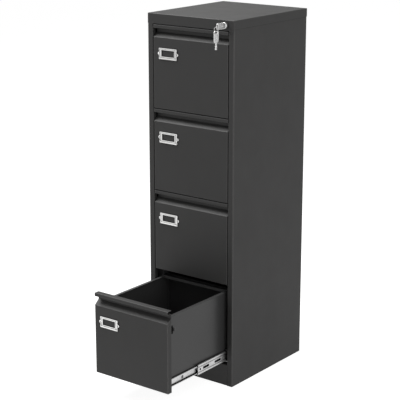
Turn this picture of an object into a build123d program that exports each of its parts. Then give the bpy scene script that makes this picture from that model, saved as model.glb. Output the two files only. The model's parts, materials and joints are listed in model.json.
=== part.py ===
from build123d import *
import math
import os

# Four-drawer steel filing cabinet. Millimetres, +Z up, front towards -Y, +X to the right as seen
# from the front. The origin is the middle of the base, on the floor. Drawers 1 to 3 are shut,
# drawer 4 (the lowest) is drawn open, and the lock is open with its key in it.

# ---------------------------------------------------------------- overall sizes
cabinet_width = 380.0
cabinet_depth = 450.0
cabinet_height = 1330.0
drawer_count = 4
drawer_4_left_in = 57.0

# ---------------------------------------------------------------- sheet metal
sheet = 1.0
bend = 1.0
side_bend = 1.5
body_gap = 0.3

# ---------------------------------------------------------------- case
cover_lip = 1.0
cover_flange = 30.0
cover_edge_radius = 2.0
fascia_height = 36.0
plinth_height = 80.0
plinth_return = 20.0
plinth_lip = 12.0
plinth_foot = 15.0
stile_width = 23.5
stile_return = 15.0
rear_flange = 18.0
base_flange = 25.0
back_flange = 14.0

# ---------------------------------------------------------------- drawer fronts
front_gap = 3.0
front_side_gap = 2.5
front_depth = 21.0
front_edge_radius = 1.6
lip_height = 13.0
lip_bend = 1.5
grip_depth = 20.0
grip_back_height = 15.0
grip_slope_height = 17.0
side_mark_radius = 2.5
side_mark_drop = 53.0
side_mark_depth = 10.5

# ---------------------------------------------------------------- drawer trays
tray_rear_room = 46.0
tray_floor_above_front = 14.0
tray_rim_drop = 30.0
tray_rim_width = 12.0
tray_notch_clearance = 0.8
liner_flange = 12.0
liner_top_drop = 0.5
back_wall_return = 13.0
file_rail_thickness = 2.0
file_rail_height = 10.0
file_rail_proud = 4.0
file_rail_setback = 8.0
file_rail_rear_setback = 38.0

# ---------------------------------------------------------------- ball slides
slide_thickness = 12.5
slide_axis_above_front = 30.5
slide_rear_setback = -0.5
slide_setback = 5.5
rail_sheet = 1.2
rail_bend = 0.8
case_rail_height = 45.0
middle_rail_height = 37.0
drawer_rail_height = 29.0
case_rail_mouth = 1.5
middle_rail_back_gap = 1.3
middle_rail_mouth = 2.6
drawer_rail_depth = 8.0
race_lip = 1.8
race_rise = 0.9
race_groove_depth = 1.0
race_groove_floor = 2.0
middle_web_height = 15.0
ball_strip_length = 120.0
ball_strip_gap = 0.3
slot_height = 9.5
slot_length = 37.0
slot_pitch = 69.0
first_slot = 47.0
front_hole_offset = 13.5
front_hole_radius = 4.0
rail_screw_radius = 2.5
rail_screw_offset = 91.0
rail_hole_radius = 3.5
rail_screw_pitch = 128.0

# ---------------------------------------------------------------- uprights and cross rails
upright_width = 30.0
rear_upright_inset = 26.5
upright_top_drop = 50.0
cross_rail_height = 15.0
cross_rail_above_gap = 9.0

# ---------------------------------------------------------------- label holders
label_from_front_edge = 66.0
label_centre_drop = 101.0
label_width = 80.0
label_height = 40.0
label_corner = 2.5
label_plate = 1.2
label_window_width = 57.0
label_window_height = 23.0
label_window_rise = 1.5
label_frame = 2.4
label_frame_border = 3.0
label_sill_height = 6.0
label_sill_depth = 3.6
label_ear_radius = 5.0
label_hole_radius = 1.7
label_hole_spacing = 82.0
label_scallop_radius = 3.5
label_scallop_rise = 9.5
label_scallop_depth = 1.3

# ---------------------------------------------------------------- lock
lock_from_side = 37.5
lock_barrel_radius = 11.0
lock_barrel_length = 10.0
lock_barrel_round = 1.5
lock_flange_radius = 12.3
lock_flange = 1.5
lock_shank_radius = 9.5
lock_shank_length = 30.0
lock_hole_gap = 0.25
lock_nut_radius = 13.0
lock_nut_length = 4.0
plug_radius = 7.0
plug_gap = 0.08
plug_recess = 0.4
plug_tail_radius = 4.0
keyway_gap = 0.3
keyway_end_gap = 1.5
cam_thickness = 2.5
cam_hub_radius = 7.5
cam_tip_radius = 4.2
cam_throw = 11.0
cam_pin_radius = 2.25
cam_pin_gap = 0.45
cam_rest_angle = 45.0

# ---------------------------------------------------------------- lock bar
bar_thickness = 2.5
bar_width = 12.0
bar_past_stile = 0.5
bar_setback = 43.0
bar_guide_gap = 0.5
bar_guide_height = 14.0
bar_guide_sheet = 1.2
bar_guide_bend = 0.3
bar_head_border = 3.5
bar_finger_height = 11.0
bar_finger_gap = 2.5
catch_height = 11.0
catch_reach = 7.5
catch_sheet = 1.0
catch_foot = 12.0
catch_drop = 79.0
catch_gap = 1.0
catch_slot_width = 9.0
catch_slot_height = 31.0

# ---------------------------------------------------------------- keys
key_thickness = 2.0
key_bow_length = 40.0
key_bow_width = 22.0
key_bow_corner = 6.0
key_blade_length = 24.0
key_blade_width = 7.0
key_hole_length = 14.0
key_hole_width = 6.5
key_hole_offset = 5.0
key_rim = 2.6
key_recess = 0.3
key_bow_gap = 0.5
key_hang = 3.9
key_cut_count = 4
key_cut_pitch = 4.4
key_cut_start = 6.0
key_cut_depth = 1.3
spare_key_turn = 8.0
ring_radius = 8.0
ring_wire_radius = 0.9
ring_rest_gap = 0.3

# ---------------------------------------------------------------- places worked out from the sizes
front_y = -cabinet_depth / 2
rear_y = cabinet_depth / 2
case_half = cabinet_width / 2 - cover_lip
case_inner_half = case_half - sheet
case_rear_y = rear_y - cover_lip
opening_half = cabinet_width / 2 - stile_width
fascia_bottom = cabinet_height - fascia_height
front_pitch = (fascia_bottom - plinth_height - front_gap) / drawer_count
front_height = front_pitch - front_gap
front_half = opening_half - front_side_gap
slide_outer_x = front_half - sheet - 0.5
slide_inner_x = slide_outer_x - slide_thickness
tray_half = slide_inner_x
tray_front_y = front_y + sheet
tray_rear_y = case_rear_y - 2 * sheet - tray_rear_room
slide_front_y = front_y + slide_setback
slide_length = tray_rear_y - slide_rear_setback - slide_front_y
label_centre_x = label_from_front_edge - front_half
lock_x = cabinet_width / 2 - lock_from_side
bar_inner_x = opening_half - bar_past_stile
lock_z = (fascia_bottom + cabinet_height) / 2
cam_swing = cam_throw * math.sin(math.radians(cam_rest_angle))
bar_travel = 2 * cam_swing
bar_y = front_y + bar_setback
flat_start = lip_height + grip_back_height + grip_slope_height
upright_y = bar_y + bar_thickness + bar_guide_gap


def front_top(number):
    """Height of the upper edge of a drawer's front; drawer 1 is the top one."""
    return fascia_bottom - front_gap - (number - 1) * front_pitch


def opening_of(number):
    """How far a drawer stands open at rest."""
    return slide_length - drawer_4_left_in if number == drawer_count else 0.0


# ---------------------------------------------------------------- general shapes
def plane_across(axis, start):
    """Work plane whose first two axes are (Y, Z), (X, Z) or (X, Y), at a place along axis."""
    if axis == "x":
        return Plane(origin=(start, 0, 0), x_dir=(0, 1, 0), z_dir=(1, 0, 0))
    if axis == "y":
        return Plane(origin=(0, start, 0), x_dir=(1, 0, 0), z_dir=(0, -1, 0))
    return Plane(origin=(0, 0, start), x_dir=(1, 0, 0), z_dir=(0, 0, 1))


def run_along(section, axis, start, end):
    """Solid with this flat section, drawn in plane_across's axes, from start to end along axis."""
    if axis == "y":
        return extrude(plane_across("y", end) * section, amount=end - start)
    return extrude(plane_across(axis, start) * section, amount=end - start)


def sheet_section(points, thickness, inside_radius):
    """Section of a sheet folded along a line of points; its metal lies to the left of the line."""
    line = [Vector(*point) for point in points]
    ahead = [(after - before).normalized() for before, after in zip(line, line[1:])]
    left = [Vector(-step.Y, step.X) for step in ahead]
    offset_line = [line[0] + left[0] * thickness]
    radii = []
    offset_radii = []
    for index in range(1, len(line) - 1):
        before, after = left[index - 1], left[index]
        offset_line.append(line[index] + (before + after) * (thickness / (1 + before.dot(after))))
        turns_left = ahead[index - 1].cross(ahead[index]).Z > 0
        radii.append(inside_radius + thickness if turns_left else inside_radius)
        offset_radii.append(inside_radius if turns_left else inside_radius + thickness)
    offset_line.append(line[-1] + left[-1] * thickness)
    face_side = FilletPolyline(*line, radius=radii)
    back_side = FilletPolyline(*offset_line, radius=offset_radii)
    ends = [Line(line[0], offset_line[0]), Line(line[-1], offset_line[-1])]
    return make_face([*face_side.edges(), *back_side.edges(), *ends])


def folded_sheet(points, axis, start, end, thickness=sheet, inside_radius=bend):
    """Folded sheet of constant section, from start to end along axis."""
    return run_along(sheet_section(points, thickness, inside_radius), axis, start, end)


def block(low, high):
    """Box between two corners."""
    size = [b - a for a, b in zip(low, high)]
    middle = [(a + b) / 2 for a, b in zip(low, high)]
    return Pos(*middle) * Box(*size)


def rod(radius, axis, centre, start, end):
    """Round bar along axis; centre gives the other two coordinates."""
    return run_along(Pos(*centre) * Circle(radius), axis, start, end)


def mirrored(shape):
    """The same piece on the other side of the cabinet."""
    return mirror(shape, about=Plane.YZ)


def save(name, *solids):
    """Write one named piece, or a group of like pieces."""
    loose = [solid for shape in solids for solid in shape.solids()]
    piece = loose[0] if len(loose) == 1 else Compound(children=loose)
    piece.label = name
    export_step(piece, f"parts/{name}.step")


# ---------------------------------------------------------------- case
def side_panel():
    """Right side: stile return, stile, skin and rear flange folded from one sheet."""
    outline = [
        (opening_half, front_y + stile_return),
        (opening_half, front_y),
        (case_half, front_y),
        (case_half, case_rear_y),
        (case_half - rear_flange, case_rear_y),
    ]
    panel = folded_sheet(outline, "z", 0, cabinet_height - sheet, sheet, side_bend)
    behind_fascia = block(
        (opening_half - sheet, front_y - sheet, fascia_bottom),
        (case_half + sheet, front_y + sheet, cabinet_height),
    )
    return panel - behind_fascia


def top_cover():
    """Lid with flanges over the sides and back, and a deeper one in front that carries the lock."""
    half = cabinet_width / 2
    skirt = cabinet_height - cover_flange
    outer = block((-half, front_y, skirt), (half, rear_y, cabinet_height))
    rounded = outer.edges().group_by(Axis.Z)[-1] + outer.edges().filter_by(Axis.Z)
    outer = fillet(rounded, cover_edge_radius)
    hollow = block(
        (-case_half, front_y + sheet, skirt - sheet),
        (case_half, case_rear_y, cabinet_height - sheet),
    )
    fascia = block((-case_half, front_y, fascia_bottom), (case_half, front_y + sheet, skirt + sheet))
    lock_hole = rod(
        lock_shank_radius + lock_hole_gap, "y", (lock_x, lock_z), front_y - sheet, front_y + 2 * sheet
    )
    return outer - hollow + fascia - lock_hole


def back_panel():
    """Back sheet with side flanges, standing inside the side panels' rear flanges."""
    rear = case_rear_y - sheet
    outline = [
        (case_inner_half, rear - back_flange),
        (case_inner_half, rear),
        (-case_inner_half, rear),
        (-case_inner_half, rear - back_flange),
    ]
    return folded_sheet(outline, "z", base_flange, cabinet_height - sheet)


def pan(low, high, radius):
    """Block between two corners, rounded along its bottom edges and its rear upright ones."""
    solid = block(low, high)
    floor_edges = solid.faces().sort_by(Axis.Z)[0].edges().sort_by(Axis.Y)[1:]
    rear_edges = solid.faces().sort_by(Axis.Y)[-1].edges().filter_by(Axis.Z)
    return fillet([*floor_edges, *rear_edges], radius)


def base_panel():
    """Floor pan, with flanges up the sides and back."""
    front = front_y + stile_return
    rear = case_rear_y - sheet
    inner_half = case_inner_half - sheet
    outside = pan((-case_inner_half, front, 0), (case_inner_half, rear, base_flange), sheet + side_bend)
    inside = pan(
        (-inner_half, front - sheet, sheet), (inner_half, rear - sheet, base_flange + sheet), side_bend
    )
    return outside - inside


def plinth():
    """Kick plate under the lowest drawer, with a return at its top and a foot on the floor."""
    outline = [
        (front_y + plinth_return, plinth_height - plinth_lip),
        (front_y + plinth_return, plinth_height),
        (front_y, plinth_height),
        (front_y, 0),
        (front_y + plinth_foot, 0),
    ]
    return folded_sheet(outline, "x", -opening_half, opening_half)


def upright(near):
    """Channel inside the right side panel that the slides are screwed to."""
    far = near + upright_width
    outline = [(case_inner_half, far), (slide_outer_x, far), (slide_outer_x, near), (case_inner_half, near)]
    channel = folded_sheet(outline, "z", base_flange, cabinet_height - upright_top_drop)
    middle = (near + far) / 2
    for number in range(1, drawer_count + 1):
        hole = rod(rail_screw_radius, "x", (middle, slide_z(number)), slide_outer_x - sheet, case_half)
        channel = channel - hole
    return channel


def cross_rail(number):
    """Channel between the front uprights, in the gap below a drawer."""
    gap_bottom = front_top(number + 1)
    top = gap_bottom + cross_rail_above_gap
    outline = [
        (upright_y + upright_width, top - cross_rail_height),
        (upright_y + upright_width, top),
        (upright_y, top),
        (upright_y, top - cross_rail_height),
    ]
    return folded_sheet(outline, "x", -slide_outer_x, slide_outer_x)


# ---------------------------------------------------------------- drawers
def front_outline(face_y, top, inset):
    """Side view of a drawer front below its grip: face, slope up to the grip's back, and rear."""
    rear = face_y + front_depth
    low = top - front_height
    slope_top = top - lip_height - grip_back_height
    corners = [
        (face_y, low),
        (face_y, top - flat_start),
        (face_y + grip_depth, slope_top),
        (rear, slope_top),
        (rear, low),
    ]
    face = make_face(Polyline(*corners, close=True))
    return offset(face, -inset, kind=Kind.INTERSECTION) if inset else face


def drawer_front(number):
    """Front folded from one sheet: face, returns, sloped grip recess and boxed lip above it."""
    face_y = front_y - opening_of(number)
    top = front_top(number)
    rear = face_y + front_depth
    shell = run_along(front_outline(face_y, top, 0), "x", -front_half, front_half)
    face_edges = shell.edges().filter_by_position(Axis.Y, face_y - sheet / 2, face_y + sheet / 2)
    upright_edges = face_edges.filter_by(Axis.Z)
    low_edge = face_edges.filter_by(Axis.X).sort_by(Axis.Z)[0]
    shell = fillet([*upright_edges, low_edge], front_edge_radius)
    inner_half = front_half - sheet
    hollow = run_along(front_outline(face_y, top, sheet), "x", -inner_half, inner_half)
    low = top - front_height + sheet
    rear_mouth = block(
        (-inner_half, rear - 2 * sheet, low),
        (inner_half, rear + sheet, top - lip_height - grip_back_height - 2 * sheet),
    )
    grip = [
        (rear, top),
        (face_y, top),
        (face_y, top - lip_height),
        (face_y + grip_depth, top - lip_height),
        (face_y + grip_depth, top - lip_height - grip_back_height),
    ]
    lip = folded_sheet(grip, "x", -front_half, front_half, sheet, lip_bend)
    mark_place = (face_y + side_mark_depth, top - side_mark_drop)
    mark = rod(side_mark_radius, "x", mark_place, -cabinet_width, cabinet_width)
    return shell - hollow - rear_mouth + lip - mark


def front_liner(number):
    """Inner sheet of a drawer's front, with a flange on the tray's floor."""
    outer_y = front_y - opening_of(number) + front_depth
    top = front_top(number)
    floor = top - front_height + tray_floor_above_front + sheet
    outline = [
        (outer_y, top - liner_top_drop),
        (outer_y, floor),
        (outer_y + liner_flange, floor),
    ]
    half = tray_half - sheet - bend
    return folded_sheet(outline, "x", -half, half)


def tray_heights(number):
    """Floor and rim heights of a drawer's tray."""
    top = front_top(number)
    return top - front_height + tray_floor_above_front, top - tray_rim_drop


def file_rail_places(number):
    """Front faces of a drawer's two file rails."""
    shift = opening_of(number)
    first = front_y + front_depth + sheet + file_rail_setback
    last = tray_rear_y - sheet - file_rail_rear_setback - file_rail_thickness
    return [first - shift, last - shift]


def tray(number):
    """Drawer body: sides with inward rims and the floor, folded from one sheet."""
    floor, rim = tray_heights(number)
    start = tray_front_y - opening_of(number)
    outline = [
        (tray_rim_width - tray_half, rim),
        (-tray_half, rim),
        (-tray_half, floor),
        (tray_half, floor),
        (tray_half, rim),
        (tray_half - tray_rim_width, rim),
    ]
    body = folded_sheet(outline, "y", start, tray_rear_y - opening_of(number))
    liner_face = front_y - opening_of(number) + front_depth
    under_slope = front_top(number) - flat_start - sheet
    body = body - block(
        (-tray_half - sheet, start - sheet, under_slope), (tray_half + sheet, liner_face, rim + sheet)
    )
    body = body - block(
        (sheet - tray_half, start, rim - sheet - bend),
        (tray_half - sheet, liner_face + sheet, rim + sheet),
    )
    slack = tray_notch_clearance / 2
    seat = rim + file_rail_proud - file_rail_height
    for near in file_rail_places(number):
        notch = block(
            (-tray_half - sheet, near - slack, seat),
            (tray_half + sheet, near + file_rail_thickness + slack, rim + sheet),
        )
        body = body - notch
    return body - catch_slot(number)


def catch_slot(number):
    """Slot in the right wall of the tray, beside the lock catch."""
    rear = catch_y(number)
    middle = front_top(number) - catch_drop
    half = catch_slot_height / 2
    return block(
        (tray_half - 2 * sheet, rear - catch_slot_width, middle - half),
        (tray_half + sheet, rear, middle + half),
    )


def tray_back(number):
    """Rear wall of the tray, with returns against its sides."""
    floor, rim = tray_heights(number)
    rear = tray_rear_y - opening_of(number)
    half = tray_half - sheet
    outline = [
        (half, rear - back_wall_return),
        (half, rear),
        (-half, rear),
        (-half, rear - back_wall_return),
    ]
    return folded_sheet(outline, "z", floor + sheet + bend, rim - sheet - bend)


def file_rails(number):
    """Two flat bars across the tray that hanging files hook over, seated in notches."""
    rim = tray_heights(number)[1]
    top = rim + file_rail_proud
    return [
        block(
            (-tray_half, near, top - file_rail_height), (tray_half, near + file_rail_thickness, top)
        )
        for near in file_rail_places(number)
    ]


def label_scallops():
    """Round notches in the card frame's ends, above and below each ear."""
    middle_x = label_width / 2 - label_scallop_depth + label_scallop_radius
    return [
        Pos(side * middle_x, rise * label_scallop_rise) * Circle(label_scallop_radius)
        for side in (-1, 1)
        for rise in (-1, 1)
    ]


def label_holder(number):
    """Card frame: window plate with ears, raised border and a deep sill below the window."""
    face_y = front_y - opening_of(number)
    middle = front_top(number) - label_centre_drop
    window = Pos(0, label_window_rise) * Rectangle(label_window_width, label_window_height)
    frame = RectangleRounded(label_width, label_height, label_corner) - label_scallops()
    ear_places = [Pos(side * label_hole_spacing / 2, 0) for side in (-1, 1)]
    ears = [place * Circle(label_ear_radius) for place in ear_places]
    holes = [place * Circle(label_hole_radius) for place in ear_places]
    rivet_room = [place * Circle(label_ear_radius - label_hole_radius / 2) for place in ear_places]
    inside = Rectangle(label_width - 2 * label_frame_border, label_height - 2 * label_frame_border)
    around = Pos(0, label_window_rise) * Rectangle(
        label_window_width + 2 * label_frame_border, label_window_height + 2 * label_frame_border
    )
    plate = frame + ears - holes - window
    raised = (frame - inside) + (around - window) - rivet_room
    holder = run_along(plate, "y", face_y - label_plate, face_y)
    holder = holder + run_along(raised, "y", face_y - label_frame, face_y - label_plate)
    low = -label_height / 2
    sill_outline = [
        (face_y - label_plate, low),
        (face_y - label_sill_depth, low + label_plate),
        (face_y - label_sill_depth, low + label_sill_height),
        (face_y - label_plate, low + label_sill_height),
    ]
    half = label_width / 2 - label_corner
    sill = run_along(make_face(Polyline(*sill_outline, close=True)), "x", -half, half)
    return Pos(label_centre_x, 0, middle) * (holder + sill)


def catch_y(number):
    """Front face of a drawer's lock catch."""
    return bar_y + bar_thickness + catch_gap - opening_of(number)


def lock_catch(number):
    """Angle on the tray's right wall that the lock bar's finger stands in front of."""
    near = catch_y(number)
    outline = [
        (tray_half, near + catch_foot),
        (tray_half, near),
        (tray_half + catch_reach, near),
    ]
    low = front_top(number) - catch_drop - catch_height / 2
    return folded_sheet(outline, "z", low, low + catch_height, catch_sheet, catch_sheet / 2)


# ---------------------------------------------------------------- ball slides
def slide_z(number):
    """Height of a drawer's slides."""
    return front_top(number) - front_height + slide_axis_above_front


def rail_section(back_x, mouth_x, height, lip):
    """C-shaped rail section with its back at back_x, open towards mouth_x, with lips at the mouth."""
    half = height / 2
    lip_end = half - lip - rail_sheet
    outline = [
        (mouth_x, -lip_end),
        (mouth_x, -half),
        (back_x, -half),
        (back_x, half),
        (mouth_x, half),
        (mouth_x, lip_end),
    ]
    if back_x < mouth_x:
        outline = outline[::-1]
    return sheet_section(outline, rail_sheet, rail_bend)


def rail(section, number, near, length):
    """A length of slide rail on the right side of a drawer."""
    return Pos(0, 0, slide_z(number)) * run_along(section, "y", near, near + length)


def case_rail(number):
    """Outer rail, screwed to the uprights."""
    mouth = slide_inner_x + case_rail_mouth
    section = rail_section(slide_outer_x, mouth, case_rail_height, race_lip)
    return rail(section, number, slide_front_y, slide_length)


def middle_back_x():
    """Outer face of the middle rail."""
    return slide_outer_x - rail_sheet - middle_rail_back_gap


def middle_rail_y(number):
    """Front end of a middle rail, which moves half as far as its drawer."""
    return slide_front_y - opening_of(number) / 2


def middle_rail(number):
    """Rail between the case and drawer rails, grooved along its ball races and slotted along its back."""
    mouth = slide_inner_x + middle_rail_mouth
    half = middle_rail_height / 2
    web_edge = middle_web_height / 2
    floor_edge = web_edge + race_groove_depth + race_groove_floor
    back = middle_back_x()
    upper = [
        (back, web_edge),
        (back - race_groove_depth, web_edge + race_groove_depth),
        (back - race_groove_depth, floor_edge),
        (back + race_rise, floor_edge + race_groove_depth + race_rise),
        (back + race_rise, half),
        (mouth, half),
        (mouth, half - race_lip - rail_sheet),
    ]
    lower = [(x, -z) for x, z in reversed(upper)]
    section = sheet_section(lower + upper, rail_sheet, rail_bend)
    near = middle_rail_y(number)
    piece = rail(section, number, near, slide_length)
    level = slide_z(number)
    through = (middle_back_x() - 2 * rail_sheet, slide_outer_x)
    holes = [rod(front_hole_radius, "x", (near + front_hole_offset, level), *through)]
    count = int((slide_length - first_slot) // slot_pitch) + 1
    for index in range(count):
        middle = near + first_slot + index * slot_pitch
        if middle + slot_length / 2 < near + slide_length:
            slot = Pos(middle, level) * SlotOverall(slot_length, slot_height)
            holes.append(run_along(slot, "x", *through))
    return piece - holes


def drawer_rail(number):
    """Inner rail, screwed to the tray's side."""
    section = rail_section(slide_inner_x, slide_inner_x + drawer_rail_depth, drawer_rail_height, race_lip)
    near = slide_front_y - opening_of(number)
    piece = rail(section, number, near, slide_length)
    level = slide_z(number)
    through = (slide_inner_x - sheet, slide_inner_x + 2 * rail_sheet)
    place = near + rail_screw_offset
    while place < near + slide_length:
        piece = piece - rod(rail_hole_radius, "x", (place, level), *through)
        place = place + rail_screw_pitch
    return piece


def ball_strips(number):
    """Ball retainers above and below the middle rail's flanges: outer ones at its rear, inner in front."""
    near = middle_rail_y(number)
    far = near + slide_length
    level = slide_z(number)
    outer_low = middle_rail_height / 2
    outer_high = case_rail_height / 2 - rail_sheet - ball_strip_gap
    inner_low = drawer_rail_height / 2 + ball_strip_gap
    inner_high = middle_rail_height / 2 - rail_sheet
    left = slide_inner_x + middle_rail_mouth + rail_sheet + rail_bend
    outer_right = middle_back_x()
    inner_right = slide_inner_x + drawer_rail_depth
    strips = []
    for side in (-1, 1):
        strips.append(
            block(
                (left, far - ball_strip_length, min(side * outer_low, side * outer_high)),
                (outer_right, far - slide_setback, max(side * outer_low, side * outer_high)),
            )
        )
        strips.append(
            block(
                (left, near + slide_setback, min(side * inner_low, side * inner_high)),
                (inner_right, near + ball_strip_length, max(side * inner_low, side * inner_high)),
            )
        )
    return [Pos(0, 0, level) * strip for strip in strips]


# ---------------------------------------------------------------- lock
def lock_body():
    """Lock barrel with a flange against the fascia and a shank through it."""
    mouth = front_y - lock_barrel_length
    barrel = rod(lock_barrel_radius, "y", (lock_x, lock_z), mouth, front_y)
    rim = barrel.edges().filter_by(GeomType.CIRCLE).sort_by(Axis.Y)[0]
    barrel = fillet(rim, lock_barrel_round)
    flange = rod(lock_flange_radius, "y", (lock_x, lock_z), front_y - lock_flange, front_y)
    shank = rod(lock_shank_radius, "y", (lock_x, lock_z), front_y, front_y + sheet + lock_shank_length)
    bore = rod(
        plug_radius + plug_gap, "y", (lock_x, lock_z), mouth - sheet, front_y + 2 * lock_shank_length
    )
    return barrel + flange + shank - bore


def lock_nut():
    """Round nut that pulls the lock's flange against the fascia."""
    near = front_y + sheet
    nut = rod(lock_nut_radius, "y", (lock_x, lock_z), near, near + lock_nut_length)
    return nut - rod(lock_shank_radius, "y", (lock_x, lock_z), near - sheet, near + 2 * lock_nut_length)


def cam_y():
    """Front face of the cam."""
    return front_y + sheet + lock_shank_length + body_gap


def lock_plug():
    """Turning plug with its keyway and the tail that carries the cam."""
    mouth = front_y - lock_barrel_length + plug_recess
    plug = rod(plug_radius, "y", (lock_x, lock_z), mouth, cam_y())
    tail = rod(plug_tail_radius, "y", (lock_x, lock_z), cam_y(), cam_y() + cam_thickness)
    keyway = block(
        (
            lock_x - key_thickness / 2 - keyway_gap,
            mouth - sheet,
            lock_z - key_blade_width / 2 - keyway_gap,
        ),
        (
            lock_x + key_thickness / 2 + keyway_gap,
            mouth + key_blade_length + keyway_end_gap,
            lock_z + key_blade_width / 2 + keyway_gap,
        ),
    )
    return plug + tail - keyway


def pin_centre():
    """Where the cam's pin stands at rest, up and to the right of the lock."""
    return (lock_x + cam_swing, lock_z + cam_swing)


def lock_cam():
    """Crank on the plug's tail, with the pin that lifts and lowers the bar."""
    pin = pin_centre()
    near = cam_y()
    far = near + cam_thickness
    outline = make_hull(
        [
            *(Pos(lock_x, lock_z) * Circle(cam_hub_radius)).edges(),
            *(Pos(*pin) * Circle(cam_tip_radius)).edges(),
        ]
    )
    crank = run_along(outline, "y", near, far)
    crank = crank - rod(plug_tail_radius, "y", (lock_x, lock_z), near - sheet, far + sheet)
    return crank + rod(cam_pin_radius, "y", pin, far, bar_y + bar_thickness + bar_guide_gap - body_gap)


def finger_z(number):
    """Lower edge of the bar's finger for a drawer, lifted clear of the catch."""
    return front_top(number) - catch_drop - catch_height / 2 + bar_travel


def lock_bar():
    """Flat bar behind the right stile, and the slotted plate on the cam's pin at its top."""
    pin_x, pin_z = pin_centre()
    outer_x = bar_inner_x + bar_width
    slot_left = pin_x - cam_pin_radius - cam_pin_gap
    slot_right = lock_x + cam_throw + cam_pin_radius + cam_pin_gap
    slot_half = cam_pin_radius + cam_pin_gap
    head_low = pin_z - slot_half - bar_head_border
    head_high = pin_z + slot_half + bar_head_border
    near, far = bar_y, bar_y + bar_thickness
    strip = block((bar_inner_x, near, finger_z(drawer_count)), (outer_x, far, head_low))
    head = block((slot_left - bar_head_border, near, head_low), (outer_x, far, head_high))
    slot = block((slot_left, near - sheet, pin_z - slot_half), (slot_right, far + sheet, pin_z + slot_half))
    return [strip, head - slot]


def bar_finger(number):
    """Tab welded to the bar's edge, which comes down in front of a drawer's catch."""
    low = finger_z(number)
    near, far = bar_y, bar_y + bar_thickness
    inner_x = tray_half + bar_finger_gap
    return block((inner_x, near, low), (bar_inner_x, far, low + bar_finger_height))


def bar_guide(height):
    """Strap on the front upright that the lock bar slides through."""
    inner = bar_inner_x - bar_guide_gap
    outer = bar_inner_x + bar_width + bar_guide_gap
    front = bar_y - bar_guide_gap
    outline = [
        (inner, upright_y),
        (inner, front),
        (outer, front),
        (outer, upright_y),
    ]
    section = sheet_section([(-x, y) for x, y in outline], bar_guide_sheet, bar_guide_bend)
    return mirrored(run_along(section, "z", height, height + bar_guide_height))


# ---------------------------------------------------------------- keys
def key_shape():
    """Flat key along +X from the outer end of its bow; the rim stands above the recessed bow."""
    bow = Pos(key_bow_length / 2, 0) * RectangleRounded(key_bow_length, key_bow_width, key_bow_corner)
    blade_mid = key_bow_length + (key_blade_length - key_bow_corner) / 2
    blade = Pos(blade_mid, 0) * Rectangle(key_blade_length + key_bow_corner, key_blade_width)
    hole = Pos(key_hole_offset, 0) * Rot(0, 0, 90) * SlotOverall(key_hole_length, key_hole_width)
    cuts = []
    for index in range(key_cut_count):
        depth = key_cut_depth * (1 + index % 2) / 2
        place = key_bow_length + key_cut_start + index * key_cut_pitch
        for side in (-1, 1):
            corners = [
                (place - depth, side * key_blade_width / 2),
                (place + depth, side * key_blade_width / 2),
                (place, side * (key_blade_width / 2 - depth)),
            ]
            cuts.append(make_face(Polyline(*corners, close=True)))
    body = extrude(bow + blade - hole - cuts, amount=key_thickness / 2, both=True)
    panel_near = key_hole_offset + key_hole_width / 2 + key_rim
    panel_length = key_bow_length - key_rim - panel_near
    panel = Pos(panel_near + panel_length / 2, 0) * RectangleRounded(
        panel_length, key_bow_width - 2 * key_rim, key_rim
    )
    for side in (-1, 1):
        level = side * (key_thickness / 2 - key_recess)
        body = body - extrude(Pos(0, 0, level) * panel, amount=side * key_thickness)
    return body


def key():
    """Key in the lock, its bow upright."""
    outer_end = front_y - lock_barrel_length - key_bow_gap - key_bow_length
    place = Plane(origin=(lock_x, outer_end, lock_z), x_dir=(0, 1, 0), z_dir=(1, 0, 0))
    return place * key_shape()


def ring_contact():
    """Where the ring's wire passes through the key's bow."""
    outer_end = front_y - lock_barrel_length - key_bow_gap - key_bow_length
    return Vector(lock_x, outer_end + key_hole_offset, lock_z - key_hang)


def ring_centre():
    """The ring hangs in the X-Z plane, so that it passes the bow at 45 degrees, locked or not."""
    side = ring_radius * math.sin(math.radians(45))
    return ring_contact() - Vector(side, 0, side)


def key_ring():
    """Closed wire ring."""
    centre = ring_centre()
    place = Plane(origin=(centre.X, centre.Y, centre.Z), x_dir=(1, 0, 0), z_dir=(0, -1, 0))
    return place * Torus(ring_radius, ring_wire_radius)


def spare_key():
    """Second key, hanging from the lowest point of the ring."""
    low = ring_centre() - Vector(0, 0, ring_radius)
    rise = key_hole_width / 2 - ring_wire_radius - ring_rest_gap
    top = low + Vector(0, 0, key_hole_offset - rise)
    turn = math.radians(spare_key_turn)
    plate_normal = (math.cos(turn), -math.sin(turn), 0)
    place = Plane(origin=(top.X, top.Y, top.Z), x_dir=(0, 0, -1), z_dir=plate_normal)
    return place * key_shape()


# ---------------------------------------------------------------- whole cabinet
def both_sides(solids):
    """Right-hand pieces with their left-hand twins."""
    return [*solids, *(mirrored(solid) for solid in solids)]


def build_case():
    """Pieces that stay still."""
    numbers = range(1, drawer_count + 1)
    save("top_cover", top_cover())
    save("side_panel_right", side_panel())
    save("side_panel_left", mirrored(side_panel()))
    save("back_panel", back_panel())
    save("base_panel", base_panel())
    save("plinth", plinth())
    slide_end = slide_front_y + slide_length
    uprights = [upright(upright_y), upright(slide_end - rear_upright_inset - upright_width)]
    save("uprights", *both_sides(uprights))
    save("cross_rails", *(cross_rail(number) for number in range(1, drawer_count)))
    save("case_rails", *both_sides([case_rail(number) for number in numbers]))


def build_lock():
    """Lock, bar and keys."""
    save("lock_body", lock_body())
    save("lock_nut", lock_nut())
    save("lock_plug", lock_plug())
    save("lock_cam", lock_cam())
    save("lock_bar", *lock_bar())
    save("lock_bar_fingers", *(bar_finger(number) for number in range(1, drawer_count + 1)))
    guides = [
        bar_guide(front_top(number) - catch_drop + catch_slot_height + bar_travel)
        for number in range(1, drawer_count + 1)
    ]
    save("lock_bar_guides", *guides)
    save("key", key())
    save("key_ring", key_ring())
    save("spare_key", spare_key())


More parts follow.
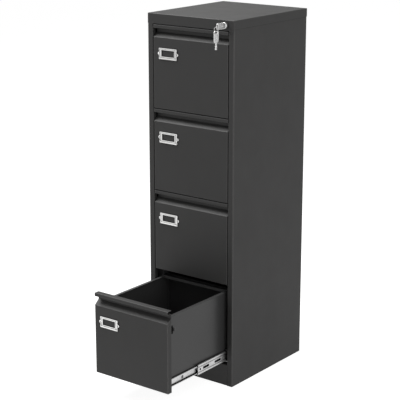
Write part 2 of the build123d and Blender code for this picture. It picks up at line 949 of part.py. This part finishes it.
def build_drawer(number):
    """One drawer with its slides."""
    save(f"drawer_front_{number}", drawer_front(number))
    save(f"front_liner_{number}", front_liner(number))
    save(f"tray_{number}", tray(number))
    save(f"tray_back_{number}", tray_back(number))
    save(f"file_rails_{number}", *file_rails(number))
    save(f"label_holder_{number}", label_holder(number))
    save(f"lock_catch_{number}", lock_catch(number))
    save(f"drawer_rails_{number}", *both_sides([drawer_rail(number)]))
    save(f"middle_rails_{number}", *both_sides([middle_rail(number)]))
    save(f"ball_strips_{number}", *both_sides(ball_strips(number)))


def main():
    os.makedirs("parts", exist_ok=True)
    build_case()
    build_lock()
    for number in range(1, drawer_count + 1):
        build_drawer(number)


if __name__ == "__main__":
    main()
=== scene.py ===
import json
import math

import bmesh
import bpy
from mathutils import Matrix, Vector


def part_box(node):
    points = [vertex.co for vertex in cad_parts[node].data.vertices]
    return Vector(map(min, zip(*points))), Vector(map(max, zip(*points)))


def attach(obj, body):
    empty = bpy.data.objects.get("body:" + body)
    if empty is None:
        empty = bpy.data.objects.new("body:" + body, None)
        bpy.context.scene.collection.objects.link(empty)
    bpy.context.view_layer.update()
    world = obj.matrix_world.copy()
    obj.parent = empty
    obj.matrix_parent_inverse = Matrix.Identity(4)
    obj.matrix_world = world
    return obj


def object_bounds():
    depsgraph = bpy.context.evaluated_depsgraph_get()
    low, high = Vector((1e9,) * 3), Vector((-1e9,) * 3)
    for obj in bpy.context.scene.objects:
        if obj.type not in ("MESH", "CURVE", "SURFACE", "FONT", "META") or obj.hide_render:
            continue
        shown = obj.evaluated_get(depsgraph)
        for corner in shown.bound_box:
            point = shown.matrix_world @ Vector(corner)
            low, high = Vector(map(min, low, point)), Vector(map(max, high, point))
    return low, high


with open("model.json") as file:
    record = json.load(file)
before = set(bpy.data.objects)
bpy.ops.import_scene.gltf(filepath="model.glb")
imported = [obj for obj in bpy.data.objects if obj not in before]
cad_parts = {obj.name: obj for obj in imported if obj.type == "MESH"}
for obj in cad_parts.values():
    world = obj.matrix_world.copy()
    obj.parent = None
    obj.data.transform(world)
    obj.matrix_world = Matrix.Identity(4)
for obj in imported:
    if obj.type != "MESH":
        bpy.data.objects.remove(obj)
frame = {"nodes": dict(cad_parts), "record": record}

cad_low, cad_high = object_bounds()
nodes = frame["nodes"]
scene = bpy.context.scene
drawers = (1, 2, 3, 4)
sharp_angle = math.radians(40)

# The coat that every outer sheet shares.
coat_tone = 0.0188
coat_rough = 0.57
coat_warm = 0.02

# Camera.
camera_place = (2.7486, -3.7687, 1.8960)
camera_turn = -0.652
camera_pitch = 0.266
camera_lens = 116.75

# Lamps: place, point aimed at, size and watts.
top_lamp = ((-2.15, -0.75, 3.7), (0, -0.2, 0.8), (2.0, 2.0), 228.0)
right_lamp = ((3.6, -1.4, 2.0), (0, 0, 0.6), (3.8, 4.4), 94.0)

# Floor and surroundings: what lights the object, and what is seen or mirrored.
floor_size = 60.0
floor_gap = 0.0003
floor_lit = 0.78
floor_seen = 0.34
floor_glow = 0.91
fill_strength = 0.25
back_strength = 1.0


# ---------------------------------------------------------------- camera
def add_camera():
    """Long lens from the front right and above, looking a little down."""
    data = bpy.data.cameras.new("camera")
    data.sensor_width = 36.0
    data.lens = camera_lens
    data.clip_end = 200.0
    camera = bpy.data.objects.new("camera", data)
    scene.collection.objects.link(camera)
    level = math.cos(camera_pitch)
    ahead = Vector((
        math.sin(camera_turn) * level,
        math.cos(camera_turn) * level,
        -math.sin(camera_pitch),
    ))
    camera.location = camera_place
    camera.rotation_mode = "QUATERNION"
    camera.rotation_quaternion = ahead.to_track_quat("-Z", "Y")
    scene.camera = camera


# ---------------------------------------------------------------- node helpers
class Tree:
    """Short names for building one material's nodes."""

    def __init__(self, name, node_tree=None):
        if node_tree is None:
            self.material = bpy.data.materials.new(name)
            self.material.use_nodes = True
            node_tree = self.material.node_tree
        self.tree = node_tree
        self.tree.nodes.clear()

    def node(self, kind, inputs=None, **settings):
        node = self.tree.nodes.new("ShaderNode" + kind)
        for key, value in settings.items():
            setattr(node, key, value)
        for key, value in (inputs or {}).items():
            socket = node.inputs[key]
            if isinstance(value, bpy.types.NodeSocket):
                self.tree.links.new(value, socket)
            else:
                socket.default_value = value
        return node

    def math(self, operation, *values):
        node = self.node("Math", operation=operation)
        for index, value in enumerate(values):
            if isinstance(value, bpy.types.NodeSocket):
                self.tree.links.new(value, node.inputs[index])
            else:
                node.inputs[index].default_value = value
        return node.outputs[0]

    def ramp(self, value, low, high, out_low=0.0, out_high=1.0):
        node = self.node("MapRange", {"Value": value, "From Min": low, "From Max": high,
                                      "To Min": out_low, "To Max": out_high}, clamp=True)
        return node.outputs["Result"]

    def noise(self, vector, scale, detail=3.0, roughness=0.5):
        return self.node("TexNoise", {"Vector": vector, "Scale": scale, "Detail": detail,
                                      "Roughness": roughness}).outputs["Fac"]

    def mix(self, factor, first, second):
        node = self.node("Mix", data_type="RGBA")
        for index, value in ((0, factor), (6, first), (7, second)):
            if isinstance(value, bpy.types.NodeSocket):
                self.tree.links.new(value, node.inputs[index])
            else:
                node.inputs[index].default_value = value
        return node.outputs[2]

    def stretched(self, scale):
        """Object coordinates, scaled along each axis."""
        place = self.node("TexCoord").outputs["Object"]
        return self.node("Mapping", {"Vector": place, "Scale": scale}).outputs["Vector"]

    def edge_mask(self, radius, low, high):
        """1 on outer and inner edges, 0 on flat metal."""
        plain = self.node("NewGeometry").outputs["Normal"]
        round_normal = self.node("Bevel", {"Radius": radius}, samples=4).outputs["Normal"]
        product = self.node("VectorMath", {0: plain, 1: round_normal}, operation="DOT_PRODUCT")
        return self.ramp(product.outputs["Value"], high, low)

    def crevice(self, reach, low, high):
        """1 deep in grooves, holes and corners, 0 on open metal."""
        open_sky = self.node("AmbientOcclusion", {"Distance": reach}, samples=8).outputs["AO"]
        return self.ramp(open_sky, high, low)

    def distance_from_upright(self, place, corner):
        """Distance from the upright line through (x, y) and from its mirror image at (-x, y)."""
        split = self.node("SeparateXYZ", {0: place})
        across = self.math("SUBTRACT", self.math("ABSOLUTE", split.outputs["X"]), corner[0])
        along = self.math("SUBTRACT", split.outputs["Y"], corner[1])
        flat = self.node("CombineXYZ", {0: across, 1: along}).outputs[0]
        return self.node("VectorMath", {0: flat}, operation="LENGTH").outputs["Value"]

    def finish(self, shader):
        self.node("OutputMaterial", {"Surface": shader})
        return self.material


def grey(value, warm=0.0):
    return (value * (1 + warm), value, value * (1 - warm), 1.0)


# ---------------------------------------------------------------- materials
def powder_coat(name, base, rough, warm=0.0, wear_and_highlight=0.4, corner=None, fold_highlight=(0.0012, 0.0032, 0.6)):
    """Satin powder coat: orange peel, faint clouds in tone and sheen, edges paler partly from
    scuffing and partly as a painted highlight, painted shade in grooves and along joints, light
    dust.

    corner is (x, y) of an upright fold that gets a painted highlight, on both sides of the middle.
    The last argument gives the distances at which that painted highlight starts to fade and ends,
    and its strength.
    """
    t = Tree(name)
    place = t.stretched((1, 1, 1))
    cloud = t.noise(place, 3.2, 4.0, 0.55)
    fleck = t.noise(place, 1900.0, 1.0)
    peel = t.noise(place, 620.0, 2.0, 0.45)
    drift = t.noise(place, 14.0, 3.0, 0.6)
    smear = t.noise(t.stretched((9, 9, 2.2)), 1.0, 5.0, 0.65)
    edge = t.edge_mask(0.0026, 0.94, 0.9995)
    # Ambient occlusion masks: they paint shade into grooves and along joints and steps, and
    # roughen the coat there.
    groove_painted_shade = t.crevice(0.010, 0.25, 0.80)
    contact_painted_shade = t.crevice(0.005, 0.72, 0.97)
    facing_up = t.node("SeparateXYZ", {0: t.node("NewGeometry").outputs["Normal"]}).outputs["Z"]
    dust = t.ramp(facing_up, 0.92, 0.995)
    patchy_wear_and_highlight = t.ramp(t.noise(place, 95.0, 4.0, 0.7), 0.44, 0.62, 0.35, 1.0)
    tone = t.mix(t.ramp(cloud, 0.35, 0.65), grey(base * 0.97, warm), grey(base * 1.03, warm))
    tone = t.mix(t.ramp(fleck, 0.60, 0.74, 0.0, 0.35), tone, grey(base * 1.7, warm))
    # Edges go paler, partly scuffing and partly a painted highlight along folds.
    tone = t.mix(t.math("MULTIPLY", edge, t.math("MULTIPLY", patchy_wear_and_highlight, wear_and_highlight)), tone, grey(0.12, warm))
    # Painted highlight: a pale band along the upright fold, standing in for the light its bend
    # catches.
    if corner:
        full, end, strength = fold_highlight
        near_fold = t.ramp(t.distance_from_upright(place, corner), end, full)
        fold_highlight_amount = t.math("MULTIPLY", near_fold, strength)
        uneven_fold_highlight = t.math("MULTIPLY", fold_highlight_amount, t.ramp(patchy_wear_and_highlight, 0.35, 1.0, 0.7, 1.0))
        tone = t.mix(uneven_fold_highlight, tone, grey(0.050, warm))
    # Painted shade: grooves, recesses and thin lines along joints and steps darkened.
    tone = t.mix(groove_painted_shade, tone, grey(base * 0.25, warm))
    tone = t.mix(t.math("MULTIPLY", contact_painted_shade, 0.7), tone, grey(base * 0.25, warm))
    gloss = t.math("ADD", t.ramp(drift, 0.3, 0.7, rough - 0.02, rough + 0.02),
                   t.ramp(smear, 0.45, 0.75, 0.0, 0.035))
    gloss = t.math("SUBTRACT", gloss, t.math("MULTIPLY", edge, 0.10))
    gloss = t.math("ADD", gloss, t.math("MULTIPLY", t.math("MAXIMUM", groove_painted_shade, contact_painted_shade), 0.30))
    gloss = t.math("ADD", gloss, t.math("MULTIPLY", dust, 0.09))
    bump = t.node("Bump", {"Height": peel, "Strength": 0.16, "Distance": 0.0006})
    shader = t.node("BsdfPrincipled", {"Base Color": tone, "Roughness": gloss,
                                       "Specular IOR Level": 0.30, "Normal": bump.outputs[0]})
    return t.finish(shader.outputs[0])


def zinc(name, base, rough, grain, warm=0.0):
    """Plated steel with drawn lines along the grain, dull patches, paler edges and painted shade
    in grooves, holes and along steps.
    """
    t = Tree(name)
    place = t.stretched((1, 1, 1))
    lines = t.noise(t.stretched(grain), 1.0, 3.0, 0.7)
    patch = t.noise(place, 42.0, 4.0, 0.6)
    spangle = t.node("TexVoronoi", {"Vector": place, "Scale": 260.0}).outputs["Distance"]
    edge = t.edge_mask(0.0006, 0.92, 0.999)
    tone = t.mix(t.ramp(patch, 0.35, 0.7), grey(base, warm), grey(base * 0.84, warm))
    tone = t.mix(t.ramp(lines, 0.4, 0.7, 0.0, 0.30), tone, grey(base * 0.72, warm))
    tone = t.mix(t.math("MULTIPLY", edge, 0.25), tone, grey(0.80, warm))
    # Painted shade: grooves, holes and the rail seen through the slots darkened by ambient
    # occlusion, and a thinner darkened line along shallow steps.
    tone = t.mix(t.crevice(0.010, 0.60, 0.84), tone, grey(0.010, 0.05))
    tone = t.mix(t.math("MULTIPLY", t.crevice(0.004, 0.80, 0.97), 0.9), tone, grey(0.03, 0.05))
    gloss = t.math("ADD", t.ramp(lines, 0.3, 0.7, rough - 0.05, rough + 0.09),
                   t.ramp(patch, 0.4, 0.7, 0.0, 0.09))
    height = t.math("ADD", t.math("MULTIPLY", lines, 0.7), t.math("MULTIPLY", spangle, 0.3))
    bump = t.node("Bump", {"Height": height, "Strength": 0.10, "Distance": 0.0003})
    shader = t.node("BsdfPrincipled", {"Base Color": tone, "Metallic": 1.0, "Roughness": gloss,
                                       "Normal": bump.outputs[0]})
    return t.finish(shader.outputs[0])


def nickel(name, base, rough, haze_size=60.0, dulled=0.90, shade_openness=(0.52, 0.80)):
    """Bright nickel plate with hair scratches, finger haze, brassy edges where the plate is rubbed
    through, and painted shade in recesses.

    dulled is how much of its tone the plate keeps under haze.
    The last argument gives the openness at which a recess is painted fully in shade and at which
    it is clear.
    """
    t = Tree(name)
    place = t.stretched((1, 1, 1))
    haze = t.noise(place, haze_size, 4.0, 0.6)
    hair_a = t.noise(t.stretched((1800, 1800, 90)), 1.0, 2.0)
    hair_b = t.noise(t.stretched((90, 1800, 1800)), 1.0, 2.0)
    scratch = t.math("MAXIMUM", t.ramp(hair_a, 0.63, 0.70), t.ramp(hair_b, 0.63, 0.70))
    edge = t.edge_mask(0.0004, 0.90, 0.999)
    tone = t.mix(t.ramp(haze, 0.40, 0.62), grey(base, 0.0), grey(base * dulled, 0.01))
    tone = t.mix(t.math("MULTIPLY", edge, 0.22), tone, (0.72, 0.62, 0.44, 1.0))
    # Painted shade: recesses and inner walls darkened by ambient occlusion.
    tone = t.mix(t.crevice(0.004, *shade_openness), tone, grey(0.035, 0.05))
    gloss = t.math("ADD", t.ramp(haze, 0.3, 0.75, rough - 0.03, rough + 0.07),
                   t.math("MULTIPLY", scratch, 0.12))
    bump = t.node("Bump", {"Height": scratch, "Strength": 0.12, "Distance": 0.00008})
    shader = t.node("BsdfPrincipled", {"Base Color": tone, "Metallic": 1.0, "Roughness": gloss,
                                       "Normal": bump.outputs[0]})
    return t.finish(shader.outputs[0])


def paint(name, material):
    """Gives a CAD node one material."""
    mesh = nodes[name].data
    mesh.materials.clear()
    mesh.materials.append(material)


# ---------------------------------------------------------------- stage
def add_stage():
    floor_mesh = bpy.data.meshes.new("floor")
    shape = bmesh.new()
    bmesh.ops.create_grid(shape, x_segments=1, y_segments=1, size=floor_size)
    shape.to_mesh(floor_mesh)
    shape.free()
    floor = bpy.data.objects.new("floor", floor_mesh)
    floor.location = (0, 0, cad_low.z - floor_gap)
    scene.collection.objects.link(floor)
    t = Tree("floor_pale")
    path = t.node("LightPath")
    seen = t.math("MAXIMUM", path.outputs["Is Camera Ray"], path.outputs["Is Glossy Ray"])
    seen = t.math("MAXIMUM", seen, path.outputs["Is Transmission Ray"])
    lit = t.node("BsdfDiffuse", {"Color": grey(floor_lit)})
    soft = t.node("BsdfDiffuse", {"Color": grey(floor_seen)})
    glow = t.node("Emission", {"Color": (1, 1, 1, 1), "Strength": floor_glow})
    shown = t.node("AddShader", {0: soft.outputs[0], 1: glow.outputs[0]})
    mixed = t.node("MixShader", {0: seen, 1: lit.outputs[0], 2: shown.outputs[0]})
    floor.data.materials.append(t.finish(mixed.outputs[0]))

    world = bpy.data.worlds.new("studio")
    scene.world = world
    world.use_nodes = True
    t = Tree("studio", world.node_tree)
    path = t.node("LightPath")
    seen = t.math("MAXIMUM", path.outputs["Is Camera Ray"], path.outputs["Is Glossy Ray"])
    seen = t.math("MAXIMUM", seen, path.outputs["Is Transmission Ray"])
    fill = t.node("Background", {"Color": (1, 1, 1, 1), "Strength": fill_strength})
    back = t.node("Background", {"Color": (1, 1, 1, 1), "Strength": back_strength})
    mixed = t.node("MixShader", {0: seen, 1: fill.outputs[0], 2: back.outputs[0]})
    t.node("OutputWorld", {"Surface": mixed.outputs[0]})


def add_lamp(name, place, target, size, power):
    data = bpy.data.lights.new(name, "AREA")
    data.shape = "RECTANGLE"
    data.size, data.size_y = size
    data.energy = power
    lamp = bpy.data.objects.new(name, data)
    lamp.location = place
    lamp.rotation_mode = "QUATERNION"
    lamp.rotation_quaternion = (Vector(target) - Vector(place)).to_track_quat("-Z", "Y")
    scene.collection.objects.link(lamp)


def add_lights():
    add_lamp("lamp_top", *top_lamp)
    add_lamp("lamp_right", *right_lamp)


# ---------------------------------------------------------------- small pieces
def new_piece(name, shape, material, body):
    """A mesh piece from a filled bmesh, riding on a CAD body."""
    bmesh.ops.recalc_face_normals(shape, faces=shape.faces)
    mesh = bpy.data.meshes.new(name)
    shape.to_mesh(mesh)
    shape.free()
    mesh.shade_smooth()
    mesh.set_sharp_from_angle(angle=sharp_angle)
    mesh.materials.append(material)
    piece = bpy.data.objects.new(name, mesh)
    scene.collection.objects.link(piece)
    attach(piece, body)
    return piece


def turned(shape, profile, place, steps=24):
    """Adds a turned solid to a bmesh.

    profile is (radius, height) along place's +Z, from axis to axis.
    A third number makes that ring a polygon with so many sides.
    """
    rings = []
    for radius, height, *sides in profile:
        if radius == 0:
            rings.append([shape.verts.new(place @ Vector((0, 0, height)))])
            continue
        ring = []
        for step in range(steps):
            angle = 2 * math.pi * step / steps
            reach = radius
            if sides:
                half = math.pi / sides[0]
                reach = radius * math.cos(half) / math.cos(angle % (2 * half) - half)
            point = Vector((reach * math.cos(angle), reach * math.sin(angle), height))
            ring.append(shape.verts.new(place @ point))
        rings.append(ring)
    for first, second in zip(rings, rings[1:]):
        for step in range(steps):
            after = (step + 1) % steps
            if len(first) == 1:
                shape.faces.new((first[0], second[step], second[after]))
            elif len(second) == 1:
                shape.faces.new((first[step], second[0], first[after]))
            else:
                shape.faces.new((first[step], second[step], second[after], first[after]))


def facing(point, direction):
    """Place whose +Z points along a direction."""
    turn = Vector(direction).to_track_quat("Z", "Y").to_matrix().to_4x4()
    return Matrix.Translation(point) @ turn


def blind_rivet(shape, place):
    """Domed rivet with the open bore that its mandrel leaves.

    +Z of place points out of the sheet.
    """
    turned(shape, [
        (0.0, -0.0011), (0.0016, -0.0011), (0.0016, 0.00002),
        (0.0029, 0.00002), (0.00285, 0.00025), (0.0025, 0.00055), (0.0020, 0.00075),
        (0.0016, 0.00078), (0.0014, 0.00062), (0.00132, -0.0009), (0.0, -0.0009),
    ], place)


def pan_screw(shape, place):
    """Low pan head with a shallow hexagon socket; +Z of place points out of the sheet."""
    turned(shape, [
        (0.0, -0.0010), (0.0024, -0.0010), (0.0024, 0.00002),
        (0.0045, 0.00002), (0.0046, 0.0006), (0.0042, 0.0012), (0.0033, 0.0016),
        (0.0022, 0.0017), (0.0019, 0.0016, 6), (0.0018, 0.0005, 6), (0.0, 0.0004),
    ], place)


def weld_dimple(shape, place):
    """Shallow ringed dent of a spot weld, under the coat."""
    turned(shape, [
        (0.0, -0.0003), (0.0031, -0.0001), (0.0028, 0.00008), (0.0023, 0.00014), (0.0018, 0.00012),
        (0.0013, 0.00004), (0.0, 0.00003),
    ], place)


def add_label_rivets(number, material):
    """One rivet through each ear of the card frame."""
    low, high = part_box(f"label_holder_{number}")
    ear, plate = 0.005, 0.0012
    shape = bmesh.new()
    for x in (low.x + ear, high.x - ear):
        blind_rivet(shape, facing((x, high.y - plate, (low.z + high.z) / 2), (0, -1, 0)))
    new_piece(f"label_rivets_{number}", shape, material, f"drawer_{number}")


def add_slide_screws(number, material):
    """Screws that hold the slides' inner rails to the tray."""
    low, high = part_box(f"drawer_rails_{number}")
    depth, web, first, pitch = 0.008, 0.0012, 0.091, 0.128
    shape = bmesh.new()
    y = low.y + first
    while y < high.y:
        for side in (-1, 1):
            point = (side * (high.x - depth + web), y, (low.z + high.z) / 2)
            pan_screw(shape, facing(point, (side, 0, 0)))
        y += pitch
    new_piece(f"slide_screws_{number}", shape, material, f"drawer_{number}")


def add_back_welds(material):
    """Spot welds down both rear flanges, which hold the back sheet."""
    low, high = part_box("side_panel_right")
    inset, pitch, end = 0.0075, 0.085, 0.045
    shape = bmesh.new()
    count = round((high.z - low.z - 2 * end) / pitch)
    for index in range(count + 1):
        z = low.z + end + (high.z - low.z - 2 * end) * index / count
        for side in (-1, 1):
            weld_dimple(shape, facing((side * (high.x - inset), high.y, z), (0, 1, 0)))
    new_piece("back_welds", shape, material, "case")


def add_liner_welds(number, material):
    """Spot welds on the inner sheet of a drawer front."""
    low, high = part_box(f"front_liner_{number}")
    inset = 0.012
    shape = bmesh.new()
    for x in (low.x + inset, high.x - inset):
        for part in (0.12, 0.5, 0.88):
            weld_dimple(shape, facing((x, high.y, low.z + (high.z - low.z) * part), (0, 1, 0)))
    new_piece(f"liner_welds_{number}", shape, material, f"drawer_{number}")


# ---------------------------------------------------------------- build
add_camera()
add_stage()
add_lights()

coat = powder_coat("charcoal_coat", coat_tone, coat_rough, coat_warm)
case_low, case_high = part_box("side_panel_right")
case_corner = (case_high.x, case_low.y)
# The case sides and top cover carry a painted highlight along the front upright fold.
panel_coat = powder_coat("panel_charcoal_coat", coat_tone, coat_rough, coat_warm,
                         corner=case_corner, fold_highlight=(0.0025, 0.0052, 1.0))
cover_coat = powder_coat("cover_charcoal_coat", coat_tone, coat_rough, coat_warm,
                         wear_and_highlight=0.1, corner=case_corner, fold_highlight=(0.0020, 0.0045, 0.35))
tray_coat = powder_coat("tray_charcoal_coat", 0.030, 0.34)
inner_coat = powder_coat("inner_charcoal_coat", 0.056, 0.44)
slide_zinc = zinc("slide_zinc", 0.62, 0.32, (700, 9, 700))
bar_zinc = zinc("bar_zinc", 0.60, 0.36, (500, 500, 9), 0.02)
screw_zinc = zinc("screw_zinc", 0.16, 0.34, (400, 400, 400))
plate_nickel = nickel("plate_nickel", 0.68, 0.30)
key_nickel = nickel("key_nickel", 0.68, 0.55, 230.0, 0.50)
lock_nickel = nickel("lock_nickel", 0.70, 0.28, 60.0, 0.90, (0.66, 0.92))

record_slot = {item["node"]: item["material_slot"] for item in frame["record"]["subparts"]}
looks = {"powder_coat": coat, "inner_coat": inner_coat, "zinc": slide_zinc, "nickel": plate_nickel}
for node_name, slot_name in record_slot.items():
    paint(node_name, looks[slot_name])
for side in ("left", "right"):
    paint(f"side_panel_{side}", panel_coat)
paint("top_cover", cover_coat)
for number in drawers:
    front_low, front_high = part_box(f"drawer_front_{number}")
    front_corner = (front_high.x, front_low.y)
    # Each drawer front carries a painted highlight along its right upright fold.
    front_coat = powder_coat(f"front_{number}_charcoal_coat", coat_tone, coat_rough, coat_warm,
                             corner=front_corner, fold_highlight=(0.0014, 0.0036, 0.8))
    paint(f"drawer_front_{number}", front_coat)
    paint(f"tray_{number}", tray_coat)
    paint(f"tray_back_{number}", tray_coat)
    paint(f"front_liner_{number}", tray_coat)
for node_name in ("lock_bar", "lock_bar_fingers", "lock_bar_guides", "lock_cam", "lock_nut"):
    paint(node_name, bar_zinc)
for node_name in ("key", "spare_key", "key_ring"):
    paint(node_name, key_nickel)
for node_name in ("lock_body", "lock_plug"):
    paint(node_name, lock_nickel)

for number in drawers:
    add_label_rivets(number, plate_nickel)
    add_slide_screws(number, screw_zinc)
    add_liner_welds(number, tray_coat)
add_back_welds(coat)

scene.view_settings.view_transform = "Standard"
